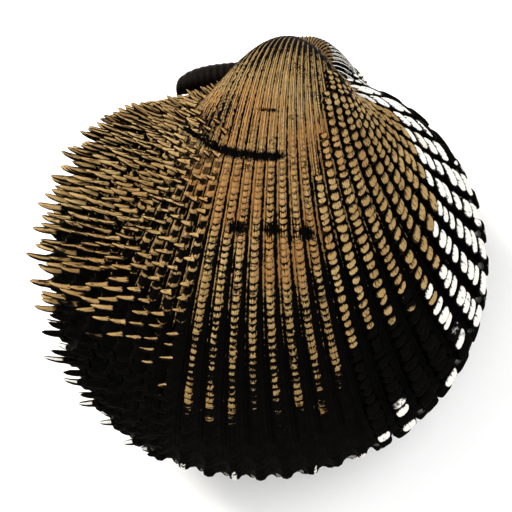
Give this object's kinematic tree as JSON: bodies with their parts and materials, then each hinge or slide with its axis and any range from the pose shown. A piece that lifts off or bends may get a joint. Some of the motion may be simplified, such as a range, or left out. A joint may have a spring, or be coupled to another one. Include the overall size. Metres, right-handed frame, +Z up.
{
  "type": "cockle shell",
  "caption": "Closed spiny cockle shell, a display specimen: inflated ribbed valves with spines behind, ledges in the middle and bead tiles in front, tied by a dark ligament",
  "frame": {"origin": "on the floor below the middle of the shell's bounding box, as it lies on its left valve", "axes": "+Z up, out of the upper (right) valve; +Y towards the hinge and beaks, -Y towards the lower margin; +X towards the front end with the bead tiles, -X towards the back end with the spines and the ligament"},
  "size_m": [0.087, 0.083, 0.0597],
  "materials": {
    "right_valve_shell": "matt ribbed shell, golden tan ribs, dark brown to black grooves, black towards the lower margin",
    "left_valve_shell": "matt ribbed shell, golden tan ribs, dark brown to black grooves, black towards the lower margin",
    "ligament_horn": "dark brown, satin, finely grooved across"
  },
  "bodies": {
    "root": {"right_valve": "right_valve_shell", "left_valve": "left_valve_shell", "ligament": "ligament_horn"}
  },
  "joints": []
}
